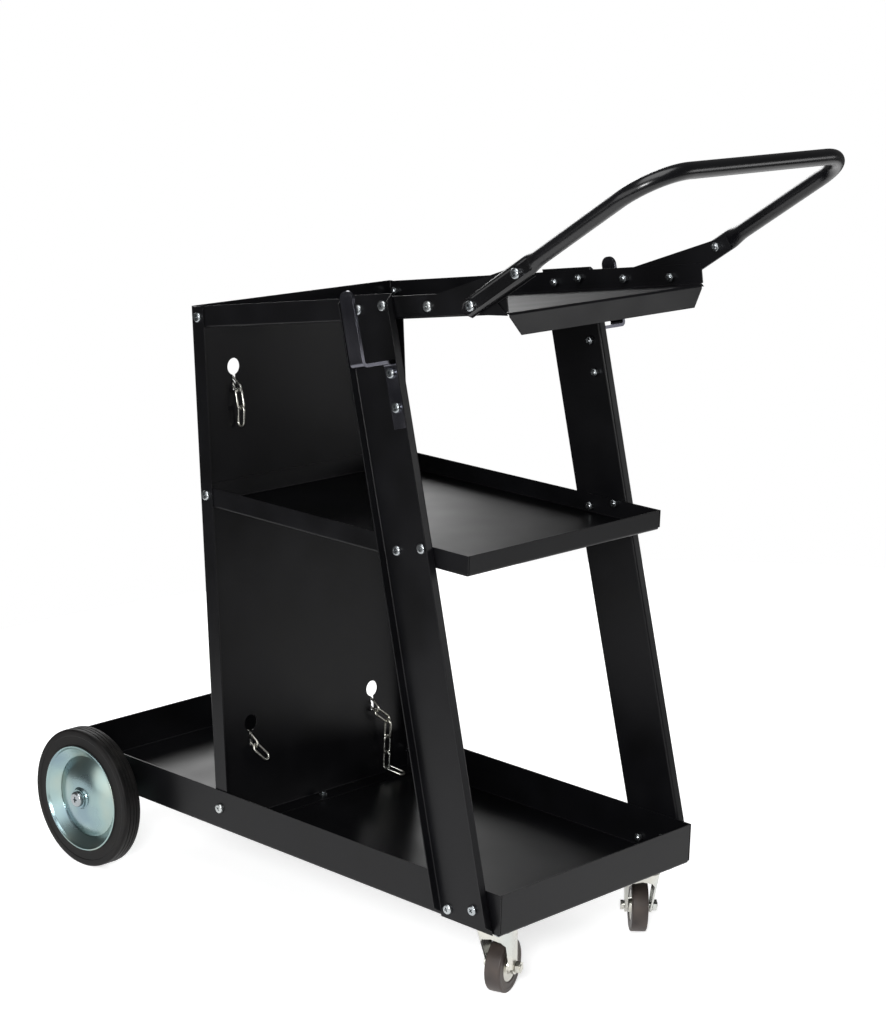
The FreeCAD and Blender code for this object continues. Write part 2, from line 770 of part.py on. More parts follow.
def rounded_rectangle(centre, width, depth, corner):
    """Flat closed wire with rounded corners."""
    x, y = width / 2, depth / 2
    corners = [V(x, -y, 0), V(x, y, 0), V(-x, y, 0), V(-x, -y, 0)]
    points = [centre + point for point in [V(0, -y, 0)] + corners + [V(0, -y, 0)]]
    return Part.Wire(rounded_path(points, [corner] * 4))


def caster_top(side):
    """Caster's fixed plate with the upper race pressed below it."""
    centre = caster_centre(side)
    low = centre - Z * caster_plate_thickness
    plate = Part.Face(rounded_rectangle(low, caster_plate, caster_plate, caster_plate_corner))
    plate = plate.extrude(Z * caster_plate_thickness)
    race_low = low - Z * race_upper
    race = rod(race_low, Z, race_upper, race_radius)
    race = race.makeFillet(race_round, rims_of(race, race_radius, race_low))
    shape = joined([plate, race])
    shape = shape.cut(rod(centre - Z * kingpin_cut, Z, 2 * kingpin_cut, kingpin / 2))
    return drilled(shape, bolts["caster_bolts"])


def crown_top():
    """Height of the fork's crown."""
    return tray_bottom - caster_plate_thickness - race_height


def fork_loft(centre, inset, low, high):
    """Body that tapers from the crown's outline to the legs' foot at the axle."""
    axle = V(centre.x, centre.y + caster_trail, caster_wheel / 2)
    crown = V(centre.x, centre.y, crown_top())
    top = rounded_rectangle(crown + Z * high, fork_width - 2 * inset, fork_depth - 2 * inset,
                            fork_corner - inset)
    foot = rounded_rectangle(axle + Z * low, fork_foot_width - 2 * inset, fork_foot_depth - 2 * inset,
                             fork_foot_corner - inset)
    return Part.makeLoft([foot, top], True, True)


def caster_fork(side):
    """Pressed fork: rounded crown, arched openings front and rear, and legs that taper to the axle."""
    centre = caster_centre(side)
    axle = V(centre.x, centre.y + caster_trail, caster_wheel / 2)
    outer = fork_loft(centre, 0, -fork_foot, 0)
    inner = fork_loft(centre, fork_sheet, -fork_foot - 0.01, -fork_sheet)
    shape = outer.cut(inner)
    arch_top = caster_wheel + arch_clearance
    wide = fork_width / 2 - fork_skirt - fork_sheet
    narrow = fork_foot_width / 2 - fork_sheet - fork_foot_skirt
    low = axle.z - fork_foot * 2
    y = centre.y - fork_depth
    half_arch = [V(narrow, y, low), V(wide, y, arch_top - arch_drop),
                 V(wide - arch_shoulder, y, arch_top - arch_drop / 3), V(0, y, arch_top)]
    other_half = [V(-point.x, y, point.z) for point in half_arch[-2::-1]]
    outline = [point + X * centre.x for point in half_arch + other_half]
    shape = shape.cut(prism(outline, Y * (fork_depth * 3)))
    below = box(V(centre.x - fork_width, axle.y - fork_foot_depth, low),
                V(centre.x + fork_width, axle.y + fork_foot_depth, axle.z))
    round_foot = rod(V(centre.x - fork_width, axle.y, axle.z), X, fork_width * 2, fork_foot)
    shape = shape.cut(below.cut(round_foot))
    shape = shape.cut(rod(axle - X * fork_width, X, fork_width * 2, caster_axle / 2))
    crown = V(centre.x, centre.y, crown_top())
    race = rod(crown, Z, race_height - race_upper - race_gap, race_radius - race_lower_inset)
    hole = rod(centre - Z * kingpin_cut, Z, 2 * kingpin_cut, kingpin / 2 + running_gap)
    return joined([shape, race]).cut(hole)


def caster_kingpin(side):
    """Riveted pin that holds the fork to the plate."""
    centre = caster_centre(side)
    low = V(centre.x, centre.y, crown_top() - fork_sheet - race_gap / 2 - kingpin_head)
    pin = rod(low, Z, centre.z - low.z, kingpin / 2)
    return joined([pin, rod(low, Z, kingpin_head, kingpin)])


def caster_axle_bolt(side):
    """Bolt and nut through the fork's legs."""
    centre = caster_centre(side)
    axle = V(centre.x, centre.y + caster_trail, caster_wheel / 2)
    flare = (fork_width - fork_foot_width) / 2 / (crown_top() - axle.z + fork_foot)
    corner = caster_nut_across_flats / math.sqrt(3)
    half = fork_foot_width / 2 + flare * (fork_foot + corner) + caster_bolt_gap
    shank = rod(axle - X * (half + 1), X, 2 * half + caster_nut_height + 2, caster_axle / 2)
    head = rod(axle - X * (half + caster_head_height), X, caster_head_height, caster_head)
    points = [axle + X * half + FreeCAD.Rotation(X, 60 * step).multVec(Z) * corner for step in range(6)]
    return joined([shank, head, prism(points, X * caster_nut_height)])


def caster_wheel_parts(side):
    """Tyre, hub and side washers of a caster wheel."""
    centre = caster_centre(side)
    axle = V(centre.x, centre.y + caster_trail, caster_wheel / 2)
    half = caster_tread / 2
    radius = caster_wheel / 2
    tyre = ring(axle - X * half, X, caster_tread, radius, caster_core)
    tyre = tyre.makeFillet(caster_shoulder, rims_of(tyre, radius))
    hub_half = fork_foot_width / 2 - fork_sheet - caster_side_gap
    bore = caster_axle / 2 + running_gap
    web = half - 2
    outline = [(hub_half, bore), (hub_half, caster_hub), (web, caster_hub + 1),
               (web, caster_core - caster_core_web), (half - 1, caster_core)]
    outline += [(-a, r) for a, r in outline[::-1]]
    return tyre, revolved(outline, axle, X)


def link_rings(centre, way, aside):
    """Mitred wire sections round a link, four at each end, in order."""
    bow = (link_width - wire) / 2
    run = (link_length - link_width) / 2
    normal = way.cross(aside)
    step = math.pi / link_end_corners
    rings = []
    for sign in (1, -1):
        for index in range(link_end_corners):
            turn = step * (index + 0.5)
            outward = (aside * math.cos(turn) + way * math.sin(turn)) * sign
            corner = centre + way * run * sign + outward * (bow / math.cos(step / 2))
            ring_points = []
            for side in range(wire_sides):
                angle = 2 * math.pi / wire_sides * (side + 0.5)
                spread = outward * math.cos(angle) / math.cos(step / 2)
                ring_points.append(corner + (spread + normal * math.sin(angle)) * (wire / 2))
            rings.append(ring_points)
    return rings


def chain_link(centre, way, aside):
    """Straight link of faceted wire; way runs along it and aside across its opening."""
    rings = link_rings(centre, way, aside)
    faces = []
    for near, far in zip(rings, rings[1:] + rings[:1]):
        for a, b, c, d in zip(near, near[1:] + near[:1], far[1:] + far[:1], far):
            faces.append(Part.Face(Part.makePolygon([a, b, c, d, a])))
    return Part.makeSolid(Part.makeShell(faces))


def next_link(last, way):
    """Centre, way and aside of a link that hangs in the end of the last one and runs another way."""
    centre, last_way, last_aside = last
    bow = (link_width - wire) / 2
    run = (link_length - link_width) / 2
    normal = last_way.cross(last_aside)
    pull = (way - normal * way.dot(normal)).normalize()
    crossing = centre + last_way * run + pull * bow
    aside = (normal - way * normal.dot(way)).normalize()
    return crossing + way * (bow - wire - link_slack + run), way, aside


def loop_half(gate, rear_way, steepness):
    """Links from a gate link's rear to the middle link of the loop behind the panel."""
    bow = (link_width - wire) / 2
    run = (link_length - link_width) / 2
    half = (loop_links - 1) // 2
    ways = [V(1, 0, -steepness * (half - index)).normalize() for index in range(half + 1)]
    lower_wire = V(0, -rear_way.z, rear_way.y) * -bow
    crossing = gate[0] + rear_way * (run - gate_shift) + lower_wire
    way = ways[0]
    aside = (X - way * way.x).normalize()
    links = [(crossing + way * (bow - wire - 2 * link_slack + run), way, aside)]
    for way in ways[1:]:
        links.append(next_link(links[-1], way))
    return links


def retaining_chain(level, tails):
    """Chain held in a pair of keyholes: a loop behind the panel, and loose ends in front of it."""
    slot_bottom = keyhole_heights[level] - keyhole_slot_depth
    tip = V(0, -math.cos(gate_angle), -math.sin(gate_angle))
    rise = (wire / 2 + (link_width - wire) / 2 + link_slack) / math.cos(gate_angle)
    middle = V(0, panel_front(slot_bottom) + sheet / 2, slot_bottom + rise)
    placed = []
    for sign in (-1, 1):
        placed.append((middle + X * sign * keyhole_spread, tip, tip.cross(X)))
        hanging_on = placed[-1]
        for way in tails[sign]:
            hanging_on = next_link(hanging_on, V(*way).normalize())
            placed.append(hanging_on)
    gate = (middle - X * keyhole_spread, tip, tip.cross(X))
    low, high = 0.0, 10.0
    for _ in range(50):
        steepness = (low + high) / 2
        half = loop_half(gate, tip * -1, steepness)
        low, high = (steepness, high) if half[-1][0].x > 0 else (low, steepness)
    links = [chain_link(*link) for link in placed + half]
    links += [mirrored(chain_link(*link)) for link in half[:-1]]
    return Part.makeCompound(links)


note_bolts()
parts = {
    "lower_tray": lower_tray(),
    "middle_shelf": middle_shelf(),
    "top_shelf": top_shelf(),
    "back_panel": back_panel(),
    "right_post": post(),
    "right_handle_plate": handle_plate(),
    "handle_tube": handle_tube(),
    "right_hook": hook(),
    "rear_axle": rear_axle(),
    "left_axle_bracket": axle_bracket(-1),
    "right_axle_bracket": axle_bracket(1),
}
for name in ("post", "handle_plate", "hook"):
    parts["left_" + name] = mirrored(parts["right_" + name])
spacers, washers, caps = axle_trim()
parts["lower_chain"] = retaining_chain(0, lower_tails)
parts["upper_chain"] = retaining_chain(1, upper_tails)
parts["axle_spacers"] = Part.makeCompound(spacers)
parts["axle_washers"] = Part.makeCompound(washers)
parts["axle_caps"] = Part.makeCompound(caps)
for name, side in (("left", -1), ("right", 1)):
    parts[name + "_tyre"] = rear_tyre(side)
    parts[name + "_outer_disc"] = wheel_disc(side, side)
    parts[name + "_inner_disc"] = wheel_disc(side, -side)
    parts[name + "_hub"] = wheel_hub(side)
    parts[name + "_caster_plate"] = caster_top(side)
    parts[name + "_caster_kingpin"] = caster_kingpin(side)
    parts[name + "_caster_fork"] = turned(caster_fork(side), side, name)
    parts[name + "_caster_axle"] = turned(caster_axle_bolt(side), side, name)
    tyre, hub = caster_wheel_parts(side)
    parts[name + "_caster_tyre"] = turned(tyre, side, name)
    parts[name + "_caster_hub"] = turned(hub, side, name)
for group in bolts:
    parts[group] = fastener_group(group)

handle_front = handle_bolt[0] + handle_way.y * tube_reach - tube / 2
cart_rear = max(tray_length, axle_y + wheel_diameter / 2)
middle = (handle_front + cart_rear) / 2

os.makedirs("parts", exist_ok=True)
for name, shape in parts.items():
    shape = shape.copy()
    shape.translate(Y * -middle)
    shape.exportStep("parts/" + name + ".step")
print("parts", len(parts), "middle", middle)
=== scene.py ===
"""Looks of a three-shelf workshop cart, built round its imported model."""
import json
import logging
import math
from collections.abc import Callable, Iterator
from contextlib import contextmanager
from dataclasses import dataclass, field
from enum import Enum

import bmesh
import bpy
import numpy as np
from mathutils import Matrix, Vector


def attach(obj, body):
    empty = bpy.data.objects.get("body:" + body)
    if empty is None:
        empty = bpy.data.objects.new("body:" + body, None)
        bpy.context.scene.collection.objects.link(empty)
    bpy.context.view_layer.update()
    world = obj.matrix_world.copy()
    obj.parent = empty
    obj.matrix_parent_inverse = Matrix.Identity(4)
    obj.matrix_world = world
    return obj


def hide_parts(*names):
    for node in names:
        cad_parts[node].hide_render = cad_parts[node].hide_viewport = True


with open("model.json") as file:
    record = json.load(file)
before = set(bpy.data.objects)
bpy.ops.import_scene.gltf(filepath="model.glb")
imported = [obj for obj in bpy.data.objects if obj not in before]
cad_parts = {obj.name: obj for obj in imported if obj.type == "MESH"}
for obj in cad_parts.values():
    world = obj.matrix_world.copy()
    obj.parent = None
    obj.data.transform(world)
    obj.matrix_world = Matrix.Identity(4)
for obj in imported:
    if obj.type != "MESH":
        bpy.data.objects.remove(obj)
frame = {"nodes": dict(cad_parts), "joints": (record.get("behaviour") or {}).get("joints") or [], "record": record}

log = logging.getLogger("cart")
MM = 0.001
WELD = 0.001 * MM
X, Y, Z = Vector((1, 0, 0)), Vector((0, 1, 0)), Vector((0, 0, 1))
Colour = tuple[float, float, float, float]


class Side(Enum):
    """The cart's two sides, seen from behind the handle."""

    LEFT = "left"
    RIGHT = "right"

    @property
    def sign(self) -> int:
        """Sign of X on this side."""
        return 1 if self is Side.RIGHT else -1


def linear(hex_colour: str) -> Colour:
    """Turns an sRGB hex colour into Blender's linear colour.

    Args:
        hex_colour: Colour such as "#1a1a1c".

    Returns:
        Linear red, green, blue and an alpha of one.
    """
    channels = [int(hex_colour[place:place + 2], 16) / 255 for place in (1, 3, 5)]
    red, green, blue = (c / 12.92 if c <= 0.04045 else ((c + 0.055) / 1.055) ** 2.4 for c in channels)
    return red, green, blue, 1.0


def add_node(tree: bpy.types.NodeTree, kind: str, settings: dict | None = None, values: dict | None = None,
             links: dict | None = None) -> bpy.types.Node:
    """Adds a shader node.

    Args:
        tree: Node tree that the node goes in.
        kind: Node type.
        settings: Node properties by name.
        values: Socket values by socket name or number.
        links: Source sockets by the name or number of the socket that they feed.

    Returns:
        The new node.
    """
    node = tree.nodes.new(kind)
    for name, value in (settings or {}).items():
        setattr(node, name, value)
    for name, value in (values or {}).items():
        node.inputs[name].default_value = value
    for name, source in (links or {}).items():
        tree.links.new(source, node.inputs[name])
    return node


@dataclass(frozen=True)
class Coating:
    """Surface whose tint and gloss drift in soft clouds and whose skin has a fine grain."""

    name: str
    colours: tuple[str, ...]
    roughness: tuple[float, float]
    cloud_mm: float
    grain_mm: float
    grain_height_mm: float
    edge_mm: float
    metallic: float
    ior: float
    specular_level: float
    noise_range: tuple[float, float] = (0.3, 0.7)
    noise_detail: float = 1.5
    edge_samples: int = 4

    def build(self) -> bpy.types.Material:
        """Builds the material.

        Returns:
            The material.
        """
        material = bpy.data.materials.new(self.name)
        material.use_nodes = True
        tree = material.node_tree
        tree.nodes.clear()
        place = add_node(tree, "ShaderNodeTexCoord").outputs["Object"]
        values = {"Scale": 1 / (self.cloud_mm * MM), "Detail": self.noise_detail}
        cloud = add_node(tree, "ShaderNodeTexNoise", values=values, links={"Vector": place}).outputs["Fac"]
        values = {"Scale": 1 / (self.grain_mm * MM), "Detail": self.noise_detail}
        grain = add_node(tree, "ShaderNodeTexNoise", values=values, links={"Vector": place}).outputs["Fac"]
        tint = add_node(tree, "ShaderNodeValToRGB", links={"Fac": cloud})
        low, high = self.noise_range
        while len(tint.color_ramp.elements) < len(self.colours):
            tint.color_ramp.elements.new(high)
        for number, (element, colour) in enumerate(zip(tint.color_ramp.elements, self.colours)):
            element.position = low + (high - low) * number / (len(self.colours) - 1)
            element.color = linear(colour)
        values = {"From Min": low, "From Max": high, "To Min": self.roughness[0], "To Max": self.roughness[1]}
        gloss = add_node(tree, "ShaderNodeMapRange", values=values, links={"Value": cloud})
        values = {"Strength": 1.0, "Distance": self.grain_height_mm * MM}
        skin = add_node(tree, "ShaderNodeBump", values=values, links={"Height": grain})
        if self.edge_mm > 0:
            edge = add_node(tree, "ShaderNodeBevel", {"samples": self.edge_samples},
                            {"Radius": self.edge_mm * MM})
            tree.links.new(edge.outputs["Normal"], skin.inputs["Normal"])
        values = {"Metallic": self.metallic, "IOR": self.ior, "Specular IOR Level": self.specular_level}
        links = {"Base Color": tint.outputs["Color"], "Roughness": gloss.outputs["Result"],
                 "Normal": skin.outputs["Normal"]}
        shader = add_node(tree, "ShaderNodeBsdfPrincipled", values=values, links=links)
        add_node(tree, "ShaderNodeOutputMaterial", links={"Surface": shader.outputs["BSDF"]})
        return material


@dataclass(frozen=True)
class PowderCoat(Coating):
    """Black polyester powder coat on steel: the film melts into a fine orange peel with soft highlights."""

    name: str = "black polyester powder coat"
    colours: tuple[str, ...] = ("#060607", "#08080a", "#0b0b0d")
    roughness: tuple[float, float] = (0.3, 0.38)
    cloud_mm: float = 70.0
    grain_mm: float = 1.6
    grain_height_mm: float = 0.01
    edge_mm: float = 0.7
    metallic: float = 0.0
    ior: float = 1.5
    specular_level: float = 0.15


@dataclass(frozen=True)
class ZincPlate(Coating):
    """Zinc electroplate on steel: a soft metallic shine with the pale blue and straw tints of passivation."""

    name: str = "blue-passivated zinc plate"
    colours: tuple[str, ...] = ("#70838a", "#829695", "#919c94")
    roughness: tuple[float, float] = (0.25, 0.32)
    cloud_mm: float = 45.0
    grain_mm: float = 1.5
    grain_height_mm: float = 0.003
    edge_mm: float = 0.2
    metallic: float = 1.0
    ior: float = 1.5
    specular_level: float = 0.5


@dataclass(frozen=True)
class MouldedRubber(Coating):
    """Carbon-black rubber: the mould leaves a dull, slightly dusty grain with a broad, weak highlight."""

    name: str = "moulded tyre rubber"
    colours: tuple[str, ...] = ("#0d0d0d", "#111010", "#161514")
    roughness: tuple[float, float] = (0.42, 0.55)
    cloud_mm: float = 22.0
    grain_mm: float = 0.9
    grain_height_mm: float = 0.02
    edge_mm: float = 0.0
    metallic: float = 0.0
    ior: float = 1.52
    specular_level: float = 0.09


@dataclass(frozen=True)
class StudioPaper(Coating):
    """Pale matt paper that the cart stands on."""

    name: str = "white studio paper"
    colours: tuple[str, ...] = ("#efefef", "#f2f2f2")
    roughness: tuple[float, float] = (0.85, 0.95)
    cloud_mm: float = 200.0
    grain_mm: float = 3.0
    grain_height_mm: float = 0.01
    edge_mm: float = 0.0
    metallic: float = 0.0
    ior: float = 1.45
    specular_level: float = 0.1


class Finish(Enum):
    """The record's material slots with the finish that each one gets."""

    BLACK = ("black_powder_coat", PowderCoat())
    TUBE = ("black_powder_coat",
            PowderCoat(name="thick black powder coat on tube", roughness=(0.22, 0.27), edge_mm=0.0,
                       specular_level=0.32))
    ZINC = ("zinc_plate", ZincPlate())
    SCREW_ZINC = ("zinc_plate",
                  ZincPlate(name="zinc plate on screws", colours=("#83888a", "#93979a", "#a2a5a5"),
                            roughness=(0.22, 0.3), edge_mm=0.0))
    BRIGHT_ZINC = ("zinc_plate",
                   ZincPlate(name="clear-passivated zinc plate", colours=("#adb0ad", "#b9b8b1", "#c2c0b6"),
                             roughness=(0.24, 0.34)))
    DARK_ZINC = ("dark_zinc",
                 ZincPlate(name="black-passivated zinc plate", colours=("#4a4a52", "#595960", "#6c6b72"),
                           roughness=(0.2, 0.3)))
    TYRE = ("tyre_rubber", MouldedRubber())
    CASTER = ("caster_rubber",
              MouldedRubber(name="moulded caster rubber", colours=("#2a2422", "#352e2b", "#403833"),
                            specular_level=0.3))

    @property
    def slot(self) -> str:
        """Name of the record's material slot."""
        return self.value[0]


class PaintShop:
    """Makes each finish once and puts it on pieces."""

    def __init__(self) -> None:
        """Builds every finish."""
        self.materials = {finish: finish.value[1].build() for finish in Finish}

    def dress(self, piece: bpy.types.Object, finish: Finish) -> None:
        """Gives a piece its material.

        Args:
            piece: Mesh object.
            finish: Finish that it gets.
        """
        piece.data.materials.clear()
        piece.data.materials.append(self.materials[finish])

    def dress_frame(self) -> None:
        """Dresses every CAD node by the record's slots, with brighter zinc on the casters."""
        finishes = {finish.slot: finish for finish in reversed(Finish)}
        for subpart in frame["record"]["subparts"]:
            finish = finishes[subpart["material_slot"]]
            if finish is Finish.ZINC and "caster" in subpart["node"]:
                finish = Finish.BRIGHT_ZINC
            self.dress(frame["nodes"][subpart["node"]], finish)

    def fit(self, piece: bpy.types.Object, finish: Finish, body: str, *nodes: str) -> None:
        """Dresses a new piece, lets it ride on a body and stands it in for CAD nodes.

        Args:
            piece: Finished mesh object.
            finish: Finish that it gets.
            body: CAD body that it moves with.
            nodes: CAD nodes that it stands for.
        """
        self.dress(piece, finish)
        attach(piece, body)
        if nodes:
            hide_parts(*nodes)
        log.info("%s rides on %s, %d faces", piece.name, body, len(piece.data.polygons))


def begin(name: str, primitive: Callable, **settings: object) -> bpy.types.Object:
    """Adds a primitive with nothing else selected.

    Args:
        name: Name of the new object.
        primitive: Operator that adds it.
        settings: The operator's settings, in metres.

    Returns:
        The new object, at the origin with its place in its mesh.
    """
    bpy.ops.object.select_all(action="DESELECT")
    primitive(**settings)
    piece = bpy.context.object
    piece.name = name
    piece.data.name = name
    bpy.ops.object.transform_apply(location=True, rotation=True, scale=True)
    return piece


@contextmanager
def editing(piece: bpy.types.Object) -> Iterator[None]:
    """Edit mode on one piece, with all of it selected at the start.

    Args:
        piece: Mesh object.

    Yields:
        Nothing: the code under it edits the piece.
    """
    bpy.ops.object.select_all(action="DESELECT")
    piece.select_set(True)
    bpy.context.view_layer.objects.active = piece
    bpy.ops.object.mode_set(mode="EDIT")
    bpy.ops.mesh.select_mode(type="VERT")
    bpy.ops.mesh.select_all(action="SELECT")
    yield
    bpy.ops.object.mode_set(mode="OBJECT")


def pick(piece: bpy.types.Object, wanted: Callable[[Vector], bool]) -> None:
    """Selects corners by their place, in edit mode.

    Args:
        piece: Mesh object in edit mode.
        wanted: Test of a corner's place.
    """
    bpy.ops.mesh.select_all(action="DESELECT")
    mesh = bmesh.from_edit_mesh(piece.data)
    for vertex in mesh.verts:
        vertex.select = wanted(vertex.co)
    mesh.select_flush(True)
    bmesh.update_edit_mesh(piece.data)


def mended() -> None:
    """Merges doubled corners and turns every face outwards, in edit mode."""
    bpy.ops.mesh.select_all(action="SELECT")
    bpy.ops.mesh.remove_doubles(threshold=WELD)
    bpy.ops.mesh.normals_make_consistent(inside=False)


def smooth(piece: bpy.types.Object, angle: float = 35.0) -> bpy.types.Object:
    """Shades a piece smooth where its faces meet below an angle.

    Args:
        piece: Mesh object.
        angle: Limit in degrees.

    Returns:
        The same piece.
    """
    bpy.ops.object.select_all(action="DESELECT")
    piece.select_set(True)
    bpy.context.view_layer.objects.active = piece
    bpy.ops.object.shade_smooth_by_angle(angle=math.radians(angle))
    return piece


def modified(piece: bpy.types.Object, kind: str, **settings: object) -> bpy.types.Object:
    """Applies a modifier.

    Args:
        piece: Mesh object.
        kind: Modifier type.
        settings: The modifier's properties.

    Returns:
        The same piece.
    """
    modifier = piece.modifiers.new(kind.lower(), kind)
    for name, value in settings.items():
        setattr(modifier, name, value)
    bpy.ops.object.select_all(action="DESELECT")
    piece.select_set(True)
    bpy.context.view_layer.objects.active = piece
    bpy.ops.object.modifier_apply(modifier=modifier.name)
    return piece


def softened(piece: bpy.types.Object, width_mm: float, segments: int = 2,
             angle: float = 30.0) -> bpy.types.Object:
    """Rounds a piece's sharp edges.

    Args:
        piece: Mesh object.
        width_mm: Bevel width.
        segments: Bevel segments.
        angle: Smallest angle in degrees of an edge that is rounded.

    Returns:
        The same piece.
    """
    return modified(piece, "BEVEL", width=width_mm * MM, segments=segments, limit_method="ANGLE",
                    angle_limit=math.radians(angle), use_clamp_overlap=True)


def copied(piece: bpy.types.Object, name: str, place: Matrix) -> bpy.types.Object:
    """Copies a piece with its own mesh.

    Args:
        piece: Mesh object to copy.
        name: Name of the copy.
        place: Matrix that the copy's mesh is moved by.

    Returns:
        The copy.
    """
    copy = piece.copy()
    copy.data = piece.data.copy()
    copy.name = name
    copy.data.transform(place)
    bpy.context.scene.collection.objects.link(copy)
    return copy


def joined(pieces: list[bpy.types.Object], name: str) -> bpy.types.Object:
    """Joins pieces into one object.

    Args:
        pieces: Mesh objects.
        name: Name of the result.

    Returns:
        The joined object.
    """
    bpy.ops.object.select_all(action="DESELECT")
    for piece in pieces:
        piece.select_set(True)
    bpy.context.view_layer.objects.active = pieces[0]
    bpy.ops.object.join()
    pieces[0].name = name
    pieces[0].data.name = name
    return pieces[0]


def removed(piece: bpy.types.Object) -> None:
    """Deletes a piece that was only a pattern or a cutter."""
    bpy.data.objects.remove(piece)


def rounded_outline(corners: list[tuple[float, float, float]], steps: int = 5) -> list[tuple[float, float]]:
    """Rounds the corners of a closed outline.

    Args:
        corners: Places with a rounding radius each, in one unit.
        steps: Points on each rounded corner.

    Returns:
        Points of the outline.
    """
    points = []
    for number, (a, r, radius) in enumerate(corners):
        here = Vector((a, r))
        last = Vector(corners[number - 1][:2]) - here
        following = Vector(corners[(number + 1) % len(corners)][:2]) - here
        if radius <= 0:
            points.append((a, r))
            continue
        half_angle = last.angle(following) / 2
        reach = min(radius / math.tan(half_angle), last.length * 0.49, following.length * 0.49)
        start = here + last.normalized() * reach
        end = here + following.normalized() * reach
        for step in range(steps):
            t = step / (steps - 1)
            point = start * (1 - t) ** 2 + here * 2 * t * (1 - t) + end * t ** 2
            points.append((point.x, point.y))
    return points


def turned(name: str, outline: list[tuple[float, float]], centre: Vector, axis: Vector,
           steps: int = 96) -> bpy.types.Object:
    """Spins a closed outline a full turn, as on a lathe.

    Args:
        name: Name of the piece.
        outline: Places along the axis with their radii, in millimetres.
        centre: Point on the axis where the place along it is zero.
        axis: Direction of the axis.
        steps: Steps of the turn.

    Returns:
        The piece.
    """
    piece = begin(name, bpy.ops.mesh.primitive_circle_add, vertices=len(outline), radius=1.0)
    aside = axis.orthogonal().normalized()
    for vertex, (along, radius) in zip(piece.data.vertices, outline):
        vertex.co = centre + axis * along * MM + aside * radius * MM
    with editing(piece):
        bpy.ops.mesh.spin(steps=steps, angle=math.tau, center=centre, axis=axis)
        mended()
        bpy.ops.mesh.delete_loose()
    return smooth(piece)


def loose_parts(node: str) -> list[np.ndarray]:
    """Splits a CAD node into its separate solids.

    Args:
        node: Name of the CAD node.

    Returns:
        Corner places of each solid, in metres.
    """
    mesh = bmesh.new()
    mesh.from_mesh(frame["nodes"][node].data)
    bmesh.ops.remove_doubles(mesh, verts=mesh.verts, dist=WELD)
    seen = set()
    parts = []
    for start in mesh.verts:
        if start in seen:
            continue
        seen.add(start)
        waiting = [start]
        found = []
        while waiting:
            vertex = waiting.pop()
            found.append(vertex.co[:])
            fresh = {edge.other_vert(vertex) for edge in vertex.link_edges} - seen
            seen |= fresh
            waiting += fresh
        parts.append(np.array(found))
    mesh.free()
    return parts


def axes_matrix(across: Vector, over: Vector, way: Vector, place: Vector) -> Matrix:
    """Matrix that puts local axes along three directions at a place.

    Args:
        across: Direction of local X.
        over: Direction of local Y.
        way: Direction of local Z.
        place: Where the local origin goes.

    Returns:
        The matrix.
    """
    matrix = Matrix((across, over, way)).transposed().to_4x4()
    matrix.translation = place
    return matrix


def joint(name: str) -> dict:
    """One of the frame's joints by name."""
    return next(entry for entry in frame["joints"] if entry["name"] == name)


@dataclass
class PanHead:
    """Pan head with a cross recess, its seat at the origin and its crown towards +Z."""

    diameter_mm: float
    height_mm: float
    recess_mm: float
    slot_mm: float
    around: int = 40
    crown: float = 0.62
    crown_steps: int = 5
    recess_taper: tuple[float, float] = (0.45, 0.7)
    recess_middle: float = 0.95

    def build(self, name: str) -> bpy.types.Object:
        """Models the head.

        Args:
            name: Name of the piece.

        Returns:
            The head.
        """
        height = self.height_mm * MM
        head = begin(name, bpy.ops.mesh.primitive_cylinder_add, vertices=self.around,
                     radius=self.diameter_mm / 2 * MM, depth=height, location=(0, 0, height / 2))
        with editing(head):
            pick(head, lambda place: place.z > height / 2)
            bpy.ops.mesh.bevel(offset=height * self.crown, segments=self.crown_steps, profile=0.5,
                               affect="EDGES")
        for turn in (0, math.pi / 2):
            cutter = begin("recess cutter", bpy.ops.mesh.primitive_cube_add, size=1.0)
            cutter.data.transform(Matrix.Diagonal((self.recess_mm * MM, self.slot_mm * MM, height, 1)))
            with editing(cutter):
                pick(cutter, lambda place: place.z < 0)
                bpy.ops.transform.resize(value=(*self.recess_taper, 1.0))
            lift = Matrix.Translation((0, 0, height * self.recess_middle))
            cutter.data.transform(lift @ Matrix.Rotation(turn, 4, "Z"))
            modified(head, "BOOLEAN", object=cutter, operation="DIFFERENCE", solver="EXACT")
            removed(cutter)
        return smooth(head, 40)


